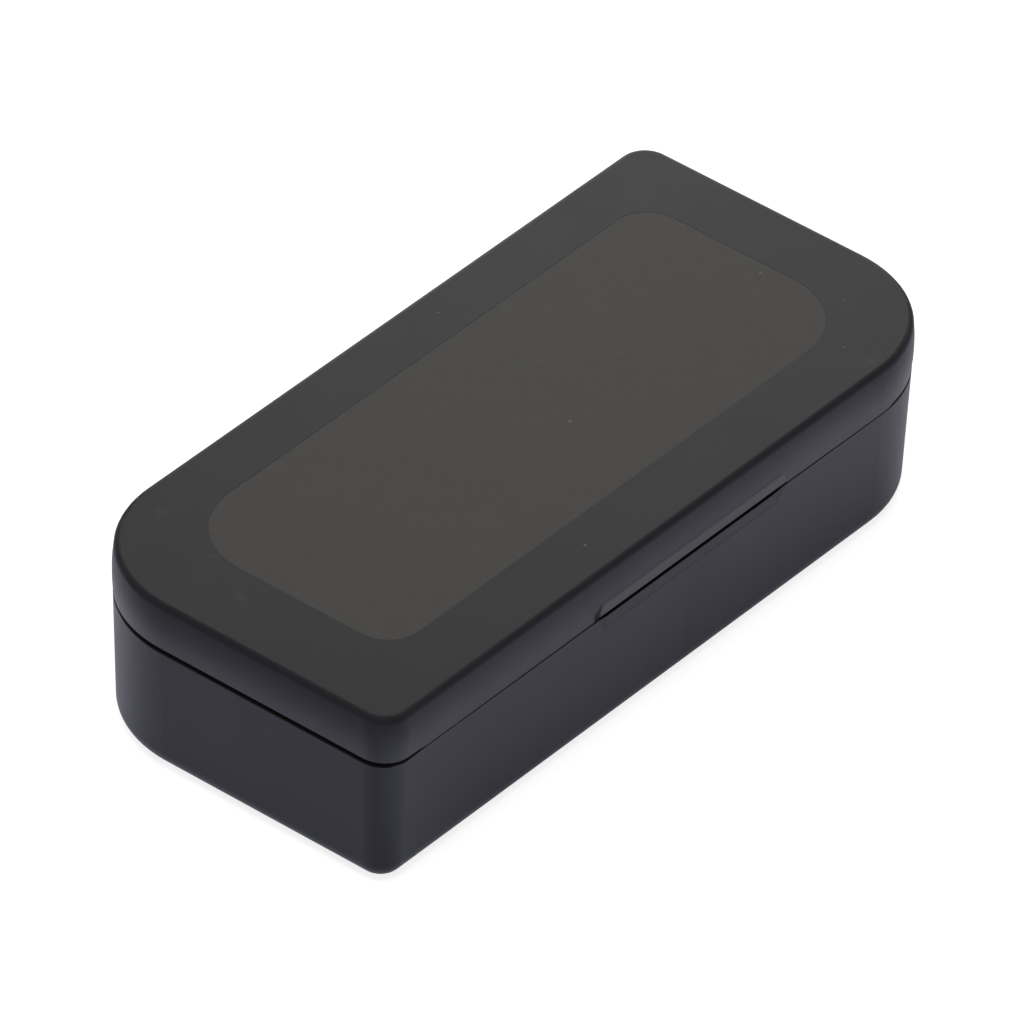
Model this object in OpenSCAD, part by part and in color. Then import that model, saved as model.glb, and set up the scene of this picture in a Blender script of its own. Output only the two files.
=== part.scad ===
// Hinged pocket case for a flash drive: two moulded shells on a pair of pin
// hinges, held shut by magnets and lined with die-cut foam.
// The origin is the middle of the underside, +X runs along the case, the case
// opens at -Y and +Z is up.

/* [Outline] */
// Length over the lid's rim
case_l = 86; // [76:0.5:110]
// Width over the lid's sides
case_w = 40.4; // [39:0.1:60]
// Radius of the two large corners, seen from above
big_corner_r = 13; // [8:0.1:14]
// Radius of the two small corners, seen from above
small_corner_r = 3; // [2.8:0.1:6]
// Width of the chamfer that breaks the edges of both rims
edge_break = 0.15; // [0.05:0.01:0.15]

/* [Base shell] */
// Height from the table to the parting line
base_h = 13.95; // [12:0.05:24]
// Thickness of the base's walls
base_wall = 1.4; // [1.3:0.05:1.6]
// Thickness of the base's floor
floor_t = 1.5; // [1:0.1:2]
// How far the base's rim stands inside the widest line of the lid's sides
rim_step = 0.12; // [0.08:0.01:0.25]
// How far the base's walls lean in from rim to floor
base_lean = 0.4; // [0.2:0.01:0.45]
// Radius of the edge round the underside
bottom_edge_r = 1.9; // [0.6:0.05:2]
// Width of the bevel between the walls and the floor, inside
floor_edge = 0.5; // [0.3:0.05:0.6]

/* [Lid shell] */
// Height of the lid above the parting line
lid_h = 5.45; // [5:0.05:9]
// Thickness of the lid's walls
lid_wall = 1.4; // [1.3:0.05:1.6]
// Thickness of the lid's top
lid_top_t = 1.4; // [1.2:0.1:1.5]
// Radius of the crown of the lid's sides, seen in section
side_r = 20; // [14:0.5:40]
// Height of the crown's widest line above the parting line
crown_h = 2.6; // [1.6:0.1:2.8]
// Radius of the edge round the lid's top
top_edge_r = 0.65; // [0.4:0.05:1]
// Width of the bevel between the lid's walls and top, inside
lid_inner_edge = 0.5; // [0.3:0.05:0.6]

/* [Lid panel] */
// Length of the fine-grained panel in the lid's top
panel_l = 69; // [50:0.5:70]
// Width of the panel
panel_w = 26.6; // [18:0.1:28]
// Radius of the panel's corners at the case's large corners
panel_big_r = 8.1; // [5:0.1:8.5]
// Radius of the panel's corners at the case's small corners
panel_small_r = 3.8; // [2:0.1:5]
// How far the panel sits to the right of the lid's middle
panel_x = 0.7; // [0:0.05:1]
// How far the panel sits behind the lid's middle
panel_y = 0.35; // [0:0.05:1]
// Depth of the panel below the lid's top
panel_depth = 0.08; // [0.05:0.01:0.3]

/* [Parting line] */
// Gap between the two rims where the lid bears
rim_gap = 0.08; // [0.05:0.01:0.15]
// How far the base's rim drops at the left side
base_drop_left = 0.2; // [0.1:0.01:0.6]
// How far the base's rim drops at the right side
base_drop_right = 0.4; // [0.1:0.01:0.6]
// How far the lid's rim rises at the left side
lid_rise = 0.55; // [0.2:0.01:0.65]
// Length over which the gap at the left side closes
reveal_left_l = 8.3; // [4:0.1:12]
// Length over which the gap at the right side closes
reveal_right_l = 15; // [4:0.1:18]
// Thickness of the tongue that locates the lid
tongue_t = 0.6; // [0.5:0.05:0.7]
// Height of the tongue above the parting line
tongue_h = 1; // [0.6:0.05:1.2]
// Clearance round the tongue
tongue_gap = 0.18; // [0.1:0.01:0.25]

/* [Thumb grip] */
// Length of the thumb lip on the lid
lip_l = 28.4; // [16:0.2:32]
// Height of the sloping face of the thumb lip
lip_h = 1.3; // [1:0.1:1.6]
// How far the thumb lip stands out from the lid's side
lip_out = 0.2; // [0.1:0.05:0.6]
// How far each end of the thumb lip slants in
lip_slant = 0.4; // [0.2:0.05:0.6]
// Height of the slit under the thumb lip, above the parting line
slit_h = 0.76; // [0.4:0.02:0.8]
// Depth of the slit below the parting line
slit_drop = 0.6; // [0.3:0.05:0.8]
// Length of the scoop in the base below the lip
scoop_l = 27.6; // [14:0.2:30]
// Height of the scoop below the slit
scoop_h = 0.9; // [0.6:0.05:2]
// Depth of the scoop at the slit
scoop_d = 0.25; // [0.2:0.05:0.5]
// How far each end of the scoop slants in
scoop_slant = 0.8; // [0.4:0.1:1.2]

/* [Hinges] */
// Distance of each hinge from the middle of the case
hinge_x = 20; // [17:0.5:20.5]
// Distance of the pins behind the lid's rim
hinge_out = 1.3; // [1.2:0.05:1.6]
// Distance of the pins below the parting line
hinge_drop = 1.15; // [1:0.05:1.3]
// Radius of the hinge barrels
barrel_r = 1.75; // [1.6:0.05:1.85]
// Length of the lid's knuckle in each hinge
lid_knuckle_l = 6; // [4:0.5:7]
// Length of each of the base's two knuckles in each hinge
base_knuckle_l = 4; // [3:0.5:4.5]
// Clearance round and beside a knuckle
knuckle_gap = 0.25; // [0.2:0.01:0.3]
// Height of the web that carries the lid's knuckle
lid_web_h = 3.4; // [2.6:0.1:3.6]
// Height of the gusset that carries a base knuckle
gusset_h = 4.2; // [3:0.1:6]
// Radius of the steel pins
pin_r = 0.75; // [0.6:0.05:0.8]
// Running clearance between a pin and the lid's knuckle
pin_gap = 0.05; // [0.03:0.01:0.08]
// Depth of the pins' ends inside the knuckles
pin_sink = 0.4; // [0.2:0.1:0.8]
// Width of the chamfer on the pins' ends
pin_chamfer = 0.15; // [0.1:0.05:0.25]
// Angle at which the heel stops the lid
open_angle = 110; // [100:1:115]
// Reach of the heel from the pin
heel_l = 2.45; // [2.3:0.05:2.6]
// Thickness of the heel
heel_t = 0.9; // [0.6:0.05:1.1]

/* [Magnets] */
// Distance of each magnet from the middle of the case
magnet_x = 24; // [20:0.5:24.5]
// Diameter of the magnets
magnet_d = 5; // [4:0.5:5.5]
// Thickness of the magnets
magnet_t = 2; // [1:0.1:2.2]
// Thickness of the wall round a magnet
boss_wall = 1; // [0.8:0.1:1.1]
// Clearance round a magnet in its pocket
magnet_gap = 0.05; // [0.03:0.01:0.1]
// Depth of a magnet below the mouth of its pocket
magnet_sink = 0.1; // [0.05:0.05:0.3]
// Gap between the lid's and the base's magnet bosses
boss_gap = 0.16; // [0.1:0.02:0.3]

/* [Foam] */
// Clearance between the foam and the shells
foam_gap = 0.3; // [0.2:0.05:0.4]
// Thickness of the foam sheet under the pocket
foam_floor_t = 3; // [2:0.1:4]
// Distance of the foam's top below the parting line
foam_drop = 0.7; // [0.4:0.1:1]
// Distance of the lid's pad above the parting line
pad_rise = 1.1; // [0.9:0.1:1.3]
// Length of the pocket for the drive
pocket_l = 62; // [40:0.5:63]
// Width of the pocket for the drive
pocket_w = 20.4; // [14:0.1:20.8]
// Radius of the pocket's corners
pocket_r = 2.5; // [1:0.1:4]
// Distance of the pocket's centre behind the middle of the case
pocket_y = 1.6; // [1:0.1:2]
// Radius of the finger notches beside the pocket
notch_r = 9; // [6:0.1:9.5]
// How far the finger notches reach out of the pocket
notch_reach = 4; // [2:0.1:4.2]

/* [Hidden] */
$fn = 48;
// Overshoot of a cut past the face that it opens
over = 1;
half_l = case_l / 2;
half_w = case_w / 2;
case_h = base_h + lid_h;
lid_bottom = base_h + rim_gap;
lid_inner_top = case_h - lid_top_t;
crown_z = base_h + crown_h;

// Each corner's outward signs, the turn of its quarter and its radius
CORNERS = [
    [1, 1, 0, small_corner_r],
    [-1, 1, 90, big_corner_r],
    [-1, -1, 180, small_corner_r],
    [1, -1, 270, big_corner_r]
];
// Least radius of an inner corner
least_r = 0.1 * small_corner_r;
// Depth of the band inside the outline that holds the shells' sections
band = small_corner_r - least_r;
// Depth to which the sections are drawn, past the centre of any corner
deep = big_corner_r + over;

// Insets from the outline of the faces at the rims and of the lid's inner walls
tongue_in = rim_step + base_wall - tongue_t;
base_in = rim_step + base_wall;
lid_in = side_in(lid_bottom) + lid_wall;
lid_top_in = side_in(lid_inner_top) + lid_wall;
rebate_in = tongue_in - tongue_gap;
rebate_z = base_h + tongue_h + tongue_gap;

// The hinge line and the spaces round it
hinge_y = half_w + hinge_out;
hinge_z = base_h - hinge_drop;
relief_r = barrel_r + knuckle_gap;
// Flat faces that run into a round stay this far inside it
flat_in = 0.08;
gusset_in = hinge_out + rim_step + base_wall / 2;
base_knuckle_x = (lid_knuckle_l + base_knuckle_l) / 2 + knuckle_gap;
hinge_l = lid_knuckle_l + 2 * (base_knuckle_l + knuckle_gap);
pin_l = hinge_l - 2 * pin_sink;
heel_face = hinge_out + rim_step;

// Magnet bosses stand clear of the tongue
magnet_r = magnet_d / 2;
boss_r = magnet_r + magnet_gap + boss_wall;
boss_y = -half_w + base_in + tongue_gap + boss_r;
boss_web_w = 2 * boss_r - boss_wall;
pocket_depth = magnet_t + magnet_sink;
lid_boss_z = base_h + boss_gap;

// Foam sheets, one above the other
foam_in = base_in + base_lean + foam_gap;
foam_z = floor_t + foam_floor_t;
foam_top = base_h - foam_drop;
pad_in = lid_top_in + foam_gap;
pad_z = base_h + pad_rise;
notch_offset = pocket_w / 2 + notch_reach - notch_r;

shell_colour = [0.13, 0.13, 0.135];
steel_colour = [0.72, 0.72, 0.74];
foam_colour = [0.08, 0.08, 0.085];

// Inset of the lid's crowned side from the outline at a height
function side_in(z) = side_r - sqrt(side_r * side_r - (z - crown_z) * (z - crown_z));

// A plan with the case's pairing of corners: large at two, small at the others
module plan(l, w, big_r, small_r) {
    corners = [for (c = CORNERS) let (r = c[3] == big_corner_r ? big_r : small_r)
        [c[0], c[1], l / 2 - r, w / 2 - r, r]];
    polygon([for (c = corners, k = [0, 1]) let (first = (k == 0) == (c[0] * c[1] > 0))
        [c[0] * (c[2] + (first ? c[4] : 0)), c[1] * (c[3] + (first ? 0 : c[4]))]]);
    for (c = corners) translate([c[0] * c[2], c[1] * c[3]]) circle(c[4]);
}

// The case's own outline, drawn in by an inset
module inset_plan(inset) {
    plan(case_l - 2 * inset, case_w - 2 * inset, big_corner_r - inset, max(small_corner_r - inset, least_r));
}

// The outer part of a section, no deeper than the given depth, moved so that
// x = 0 is the depth's end
module clipped(depth) {
    intersection() {
        translate([depth, 0]) children();
        translate([0, -over]) square([depth + over, case_h + 2 * over]);
    }
}

// Sweeps a section of a shell round the outline. The section's x is the
// distance outside the outline, its y is the height, and it reaches in to -deep.
module sweep_outline() {
    for (i = [0:3]) {
        here = CORNERS[i];
        next = CORNERS[(i + 1) % 4];
        lengthwise = i % 2 == 0;
        side_l = lengthwise ? case_l : case_w;
        side_out = lengthwise ? half_w : half_l;
        translate([here[0] * (half_l - here[3]), here[1] * (half_w - here[3]), 0])
            rotate([0, 0, here[2]])
                rotate_extrude(angle = 90) clipped(here[3]) children();
        rotate([0, 0, here[2]])
            translate([side_l / 2 - here[3], side_out - band, 0])
                rotate([90, 0, -90])
                    linear_extrude(side_l - here[3] - next[3]) mirror([1, 0]) clipped(band) children();
    }
}

// The block inside the swept band, between two heights
module core(z_low, z_high) {
    points = [for (c = CORNERS)
        let (
            inner = [half_l - band, half_w - band],
            centre = [half_l - c[3], half_w - c[3]],
            steps = [[inner[0], centre[1]], centre, [centre[0], inner[1]]]
        )
        for (k = c[0] * c[1] > 0 ? [0, 1, 2] : [2, 1, 0]) [c[0] * steps[k][0], c[1] * steps[k][1]]];
    translate([0, 0, z_low]) linear_extrude(z_high - z_low) polygon(points);
}

// Draws a profile in the plane across the hinge line, extruded along X
module along_x(length) {
    translate([-length / 2, 0, 0]) rotate([90, 0, 90]) linear_extrude(length) children();
}

// Runs along the hinge line, centred on it
module hinge_rod(r, length) {
    along_x(length) circle(r);
}

// Puts its children at both hinges, on the hinge line
module at_hinges() {
    for (side = [-1, 1]) translate([side * hinge_x, hinge_y, hinge_z]) children();
}

// Puts its children at the two base knuckles of each hinge
module at_base_knuckles() {
    at_hinges() for (side = [-1, 1]) translate([side * base_knuckle_x, 0, 0]) children();
}

// Puts its children at both magnets, at the height of the table
module at_magnets() {
    for (side = [-1, 1]) translate([side * magnet_x, boss_y, 0]) children();
}

// The outer part of a disc from an angle up to the top, which rounds off an edge
module rounding(r, start) {
    ray = [cos(start), sin(start)];
    intersection() {
        circle(r);
        polygon([[0, r / 2], r / 2 * ray, 2 * r * ray, [2 * r, 2 * r], [0, 2 * r]]);
    }
}

// Section of the base's wall and floor edge, with the tongue on its rim
module base_section() {
    foot_in = rim_step + base_lean;
    inner_foot_in = foot_in + base_wall;
    polygon([
        [-deep, 0],
        [-foot_in - bottom_edge_r, 0],
        [-foot_in, bottom_edge_r],
        [-rim_step, base_h - edge_break],
        [-rim_step - edge_break, base_h],
        [-tongue_in, base_h],
        [-tongue_in, base_h + tongue_h - edge_break],
        [-tongue_in - edge_break, base_h + tongue_h],
        [-base_in, base_h + tongue_h],
        [-base_in, base_h],
        [-inner_foot_in, floor_t + floor_edge],
        [-inner_foot_in - floor_edge, floor_t],
        [-deep, floor_t]
    ]);
    translate([-foot_in - bottom_edge_r, bottom_edge_r]) mirror([0, 1]) rounding(bottom_edge_r, 0);
}

// Section of the lid's wall and top edge, rebated for the tongue. The crowned
// side is an arc, and the top edge is a smaller arc that runs on from it.
module lid_section() {
    edge_z = case_h - top_edge_r;
    lean = asin((edge_z - crown_z) / (side_r - top_edge_r));
    edge_in = side_r - (side_r - top_edge_r) * cos(lean);
    intersection() {
        polygon([
            [-rebate_in, lid_bottom],
            [-side_in(lid_bottom) - edge_break, lid_bottom],
            [over, lid_bottom + edge_break + side_in(lid_bottom) + over],
            [over, case_h - (edge_in + over) * (1 - sin(lean)) / cos(lean)],
            [-edge_in, case_h],
            [-deep, case_h],
            [-deep, lid_inner_top],
            [-lid_top_in - lid_inner_edge, lid_inner_top],
            [-lid_top_in, lid_inner_top - lid_inner_edge],
            [-lid_in, rebate_z],
            [-rebate_in, rebate_z]
        ]);
        translate([-side_r, crown_z]) circle(side_r, $fn = 360);
    }
    translate([-edge_in, edge_z]) rounding(top_edge_r, lean);
}

// Material taken off a rim at a short side, outside the tongue. It is deepest
// at the case's end and fades along the long sides. Side is -1 at the left and
// 1 at the right, and a height below zero cuts down into the base.
module reveal_cut(side, height, length) {
    far = half_l + over;
    rim_z = height < 0 ? base_h : lid_bottom;
    beyond = height < 0 ? over : -over;
    difference() {
        translate([0, half_w + over, 0]) rotate([90, 0, 0]) linear_extrude(case_w + 2 * over)
            polygon([
                [side * (half_l - length), rim_z],
                [side * far, rim_z + height * (length + over) / length],
                [side * far, rim_z + beyond],
                [side * (half_l - length), rim_z + beyond]
            ]);
        linear_extrude(case_h) inset_plan(tongue_in);
    }
}

// The slit's step in the base's rim, and the slope that leads a thumb into it
module scoop_cut() {
    high = base_h - slit_drop;
    low = high - scoop_h;
    wall_in = rim_step + base_lean * (slit_drop + scoop_h) / (base_h - bottom_edge_r);
    half_scoop = scoop_l / 2;
    intersection() {
        rotate([0, 0, 180]) along_x(scoop_l)
            polygon([
                [half_w - wall_in, low],
                [half_w + over, low],
                [half_w + over, base_h + over],
                [half_w - tongue_in, base_h + over],
                [half_w - tongue_in, high],
                [half_w - rim_step - scoop_d, high]
            ]);
        rotate([90, 0, 0]) linear_extrude(half_w + 2 * over)
            polygon([
                [scoop_slant - half_scoop, low],
                [half_scoop - scoop_slant, low],
                [half_scoop, high],
                [half_scoop, base_h + 2 * over],
                [-half_scoop, base_h + 2 * over],
                [-half_scoop, high]
            ]);
    }
}

// The wall that ties a boss to the shell's front wall
module boss_web(z_low, z_high) {
    depth = boss_y + half_w - rebate_in;
    translate([-boss_web_w / 2, -depth, z_low]) cube([boss_web_w, depth, z_high - z_low]);
}

module base_shell() color(shell_colour) {
    difference() {
        union() {
            difference() {
                union() {
                    sweep_outline() base_section();
                    core(0, floor_t);
                }
                reveal_cut(-1, -base_drop_left, reveal_left_l);
                reveal_cut(1, -base_drop_right, reveal_right_l);
                scoop_cut();
            }
            at_magnets() {
                translate([0, 0, floor_t / 2]) cylinder(r = boss_r, h = base_h - floor_t / 2);
                boss_web(floor_t / 2, base_h);
            }
            at_base_knuckles() {
                hinge_rod(barrel_r, base_knuckle_l);
                along_x(base_knuckle_l)
                    polygon([
                        [-gusset_in, 0],
                        [0, 0],
                        [barrel_r * cos(45), -barrel_r * sin(45)],
                        [-hinge_out - rim_step, -gusset_h],
                        [-gusset_in, -gusset_h]
                    ]);
            }
        }
        at_magnets() translate([0, 0, base_h - pocket_depth]) cylinder(r = magnet_r + magnet_gap, h = over + pocket_depth);
        at_hinges() {
            hinge_rod(relief_r, lid_knuckle_l + 2 * knuckle_gap);
            along_x(lid_knuckle_l + 2 * knuckle_gap)
                translate([-relief_r + flat_in, 0]) square([2 * relief_r, hinge_drop + over]);
        }
        at_hinges() hinge_rod(pin_r, hinge_l + over);
    }
}

module lid_shell() color(shell_colour) {
    difference() {
        union() {
            difference() {
                union() {
                    sweep_outline() lid_section();
                    core(lid_inner_top, case_h);
                    thumb_lip();
                }
                translate([-lip_l / 2, -half_w - over, lid_bottom - over])
                    cube([lip_l, over + rebate_in, over + base_h + slit_h - lid_bottom]);
                reveal_cut(-1, lid_rise, reveal_left_l);
                translate([panel_x, panel_y, case_h - panel_depth])
                    linear_extrude(over) plan(panel_l, panel_w, panel_big_r, panel_small_r);
                at_base_knuckles() hinge_rod(relief_r, base_knuckle_l + 2 * knuckle_gap);
            }
            at_magnets() {
                translate([0, 0, lid_boss_z]) cylinder(r = boss_r, h = case_h - lid_top_t / 2 - lid_boss_z);
                boss_web(rebate_z, case_h - lid_top_t / 2);
            }
            at_hinges() lid_knuckle();
        }
        at_magnets() translate([0, 0, lid_boss_z - over]) cylinder(r = magnet_r + magnet_gap, h = over + pocket_depth);
        at_hinges() hinge_rod(pin_r + pin_gap, lid_knuckle_l + over);
    }
}

// The lip's length is measured at the widest line of the lid's side
module thumb_lip() {
    low = base_h + slit_h;
    half_lip = lip_l / 2;
    inner_half = half_lip + rebate_in * lip_slant / lip_out;
    outer_half = half_lip - lip_slant;
    intersection() {
        rotate([0, 0, 180]) along_x(2 * inner_half)
            polygon([
                [half_w - rebate_in, low],
                [half_w + lip_out - edge_break, low],
                [half_w + lip_out, low + edge_break],
                [half_w - side_in(low + lip_h), low + lip_h],
                [half_w - rebate_in, low + lip_h]
            ]);
        linear_extrude(case_h)
            polygon([
                [-inner_half, rebate_in - half_w],
                [-outer_half, -lip_out - half_w],
                [outer_half, -lip_out - half_w],
                [inner_half, rebate_in - half_w]
            ]);
    }
}

// Barrel, web and the heel that meets the base's back wall at the open angle
module lid_knuckle() {
    hinge_rod(barrel_r, lid_knuckle_l);
    along_x(lid_knuckle_l) {
        polygon([
            [-barrel_r + flat_in, 0],
            [0, 0],
            [barrel_r * cos(45), barrel_r * sin(45)],
            [-barrel_r + flat_in, lid_web_h]
        ]);
        rotate(open_angle - 90) translate([0, -heel_face]) square([heel_l, heel_t]);
    }
}

module hinge_pin(side) color(steel_colour) {
    straight = pin_l - 2 * pin_chamfer;
    translate([side * hinge_x - pin_l / 2, hinge_y, hinge_z]) rotate([0, 90, 0]) {
        cylinder(r1 = pin_r - pin_chamfer, r2 = pin_r, h = pin_chamfer);
        translate([0, 0, pin_chamfer]) cylinder(r = pin_r, h = straight);
        translate([0, 0, pin_chamfer + straight]) cylinder(r1 = pin_r, r2 = pin_r - pin_chamfer, h = pin_chamfer);
    }
}

module magnet(side, z) color(steel_colour) {
    translate([side * magnet_x, boss_y, z]) cylinder(r = magnet_r, h = magnet_t);
}

// Room that a foam sheet leaves round the magnet bosses
module boss_notches() {
    room = boss_r + foam_gap;
    for (side = [-1, 1]) translate([side * magnet_x - room, -half_w - over]) square([2 * room, half_w + over + boss_y + room]);
}

module pocket() {
    corner = [pocket_l / 2 - pocket_r, pocket_w / 2 - pocket_r];
    translate([0, pocket_y]) {
        square([pocket_l, 2 * corner[1]], center = true);
        square([2 * corner[0], pocket_w], center = true);
        for (x = [-1, 1], y = [-1, 1]) translate([x * corner[0], y * corner[1]]) circle(pocket_r);
        for (y = [-1, 1]) translate([0, y * notch_offset]) circle(notch_r);
    }
}

module foam_floor() color(foam_colour) {
    translate([0, 0, floor_t]) linear_extrude(foam_floor_t) difference() {
        inset_plan(foam_in + floor_edge);
        boss_notches();
    }
}

module foam_insert() color(foam_colour) {
    translate([0, 0, foam_z]) linear_extrude(foam_top - foam_z) difference() {
        inset_plan(foam_in);
        boss_notches();
        pocket();
    }
}

module lid_pad() color(foam_colour) {
    translate([0, 0, pad_z]) linear_extrude(lid_inner_top - pad_z) difference() {
        inset_plan(pad_in + lid_inner_edge);
        boss_notches();
    }
}

base_shell();
lid_shell();
hinge_pin(-1);  // hinge_pin_left
hinge_pin(1);  // hinge_pin_right
magnet(-1, base_h - pocket_depth);  // base_magnet_left
magnet(1, base_h - pocket_depth);  // base_magnet_right
magnet(-1, lid_boss_z + magnet_sink);  // lid_magnet_left
magnet(1, lid_boss_z + magnet_sink);  // lid_magnet_right
foam_floor();
foam_insert();
lid_pad();
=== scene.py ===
"""Looks of a small hinged hard case: moulded shells, steel pins, magnets and die-cut foam."""
import math

import bmesh
import bpy
from bpy.props import FloatProperty, FloatVectorProperty, IntProperty, PointerProperty
from bpy.types import Operator, Panel, PropertyGroup
from mathutils import Matrix, Vector


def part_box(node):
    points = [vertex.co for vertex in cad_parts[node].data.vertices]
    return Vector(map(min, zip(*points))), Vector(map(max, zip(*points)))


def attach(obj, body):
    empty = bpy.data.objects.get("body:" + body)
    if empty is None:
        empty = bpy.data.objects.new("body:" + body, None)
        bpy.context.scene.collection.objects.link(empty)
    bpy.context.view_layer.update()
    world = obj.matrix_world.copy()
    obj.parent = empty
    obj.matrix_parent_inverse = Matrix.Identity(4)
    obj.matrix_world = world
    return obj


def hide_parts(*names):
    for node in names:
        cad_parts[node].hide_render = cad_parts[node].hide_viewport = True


bl_info = {
    "name": "Flash Drive Hard Case",
    "version": (1, 0, 0),
    "blender": (4, 5, 0),
    "location": "View3D > Sidebar > Hard Case",
    "description": "Finishes the shells, metal and foam of a small hard case, and sets its studio",
    "category": "Object",
}

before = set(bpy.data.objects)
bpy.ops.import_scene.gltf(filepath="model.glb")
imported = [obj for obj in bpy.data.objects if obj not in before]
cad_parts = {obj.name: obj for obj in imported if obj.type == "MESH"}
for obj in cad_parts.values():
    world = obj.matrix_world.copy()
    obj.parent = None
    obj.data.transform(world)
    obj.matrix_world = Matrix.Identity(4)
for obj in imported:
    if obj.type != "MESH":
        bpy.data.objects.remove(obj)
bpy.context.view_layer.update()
MM = 0.001

# Points closer than the first are merged, and heights closer than the second count as one
MERGE = MM / 1000
TOUCH = MM / 100

# A face that was turned by more than the first angle loses its old normals. Edges sharper than
# the second are rounded in foam, and those sharper than the third are shown as edges there.
TURNED = math.radians(15)
ROUNDED = math.radians(60)
CREASED = math.radians(40)

SHELLS = (("base_shell", "base"), ("lid_shell", "lid"))
PINS = ("hinge_pin_left", "hinge_pin_right")
MAGNETS = ("base_magnet_left", "base_magnet_right", "lid_magnet_left", "lid_magnet_right")

# Bright dust on the lid's top, as x, y and radius in millimetres
DUST = (
    (33.9, -1.8, 0.16), (3.8, -3.1, 0.2), (-9.9, -16.2, 0.17), (30.0, -15.2, 0.12),
    (35.8, -10.6, 0.1), (8.6, 17.0, 0.13), (-24.5, 9.4, 0.08), (18.7, 6.2, 0.07),
)

# Faint scuffs there, in the same order
SCUFFS = (
    (-36.8, 7.5, 1.8), (-37.1, 2.7, 1.4), (-34.0, 8.3, 1.0), (-32.3, 16.4, 1.3), (29.7, -18.3, 0.9),
)

# The middle of a noise's range, where nearly all of its values lie
NOISE_MIDDLE = (0.3, 0.7)


# Node helpers

def new_material(name):
    """A material with an empty node tree but its output and one Principled shader."""
    material = bpy.data.materials.new(name)
    material.use_nodes = True
    tree = material.node_tree
    tree.nodes.clear()
    output = tree.nodes.new("ShaderNodeOutputMaterial")
    shader = tree.nodes.new("ShaderNodeBsdfPrincipled")
    tree.links.new(shader.outputs["BSDF"], output.inputs["Surface"])
    return material, tree, shader


def fill(tree, socket, value):
    """Links a socket to another one, or sets its value."""
    if isinstance(value, bpy.types.NodeSocket):
        tree.links.new(value, socket)
    else:
        socket.default_value = value


def add(tree, kind, values=None, **settings):
    """Adds a node with its settings, and fills its sockets."""
    node = tree.nodes.new(kind)
    for key, value in settings.items():
        setattr(node, key, value)
    for key, value in (values or {}).items():
        fill(tree, node.inputs[key], value)
    return node


def maths(tree, operation, first, second=None, third=None):
    values = {i: v for i, v in enumerate((first, second, third)) if v is not None}
    return add(tree, "ShaderNodeMath", values, operation=operation).outputs[0]


def product(tree, *factors):
    result = factors[0]
    for factor in factors[1:]:
        result = maths(tree, "MULTIPLY", result, factor)
    return result


def mix_colour(tree, share, first, second):
    return add(tree, "ShaderNodeMix", {0: share, 6: first, 7: second}, data_type="RGBA").outputs[2]


def mix_value(tree, share, first, second):
    return add(tree, "ShaderNodeMix", {0: share, 2: first, 3: second}).outputs[0]


def ramp(tree, source, low, high, out_low=0.0, out_high=1.0, smooth=False):
    """Maps a value's range to another, clamped."""
    return add(tree, "ShaderNodeMapRange", {
        "Value": source, "From Min": low, "From Max": high, "To Min": out_low, "To Max": out_high,
    }, interpolation_type="SMOOTHSTEP" if smooth else "LINEAR").outputs[0]


def noise(tree, position, size, detail=2.0, roughness=0.5):
    """Noise whose features are about the given size, in metres."""
    return add(tree, "ShaderNodeTexNoise", {
        "Vector": position, "Scale": 1 / size, "Detail": detail, "Roughness": roughness,
    }).outputs[0]


def spread(tree, pattern, low, high):
    """Stretches the middle of a noise's range over another range."""
    return ramp(tree, pattern, *NOISE_MIDDLE, low, high)


def scaled(tree, vector, share):
    return add(tree, "ShaderNodeVectorMath", {0: vector, "Scale": share}, operation="SCALE").outputs[0]


def summed(tree, first, second):
    return add(tree, "ShaderNodeVectorMath", {0: first, 1: second}, operation="ADD").outputs[0]


def soft_normal(tree, radius):
    """The normal as it would be if the edges were rounded."""
    return add(tree, "ShaderNodeBevel", {"Radius": radius}, samples=4).outputs[0]


def relief(tree, shader, height, distance, **sockets):
    """Gives a shader a bump of a depth, in metres."""
    bump = add(tree, "ShaderNodeBump", {"Height": height, "Distance": distance, **sockets})
    tree.links.new(bump.outputs[0], shader.inputs["Normal"])


def object_place(tree):
    return add(tree, "ShaderNodeTexCoord").outputs["Object"]


def axes_of(tree, vector):
    return add(tree, "ShaderNodeSeparateXYZ", {"Vector": vector}).outputs


def object_facing(tree):
    return axes_of(tree, add(tree, "ShaderNodeTexCoord").outputs["Normal"])


def near(tree, position, place, inner, outer):
    """One within the inner distance of a place, and nothing beyond the outer."""
    away = add(tree, "ShaderNodeVectorMath", {0: position, 1: place}, operation="DISTANCE")
    return ramp(tree, away.outputs["Value"], inner, outer, 1.0, 0.0)


def within(tree, value, low, high):
    """One between two values."""
    return maths(tree, "COMPARE", value, (low + high) / 2, (high - low) / 2)


# Settings

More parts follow.
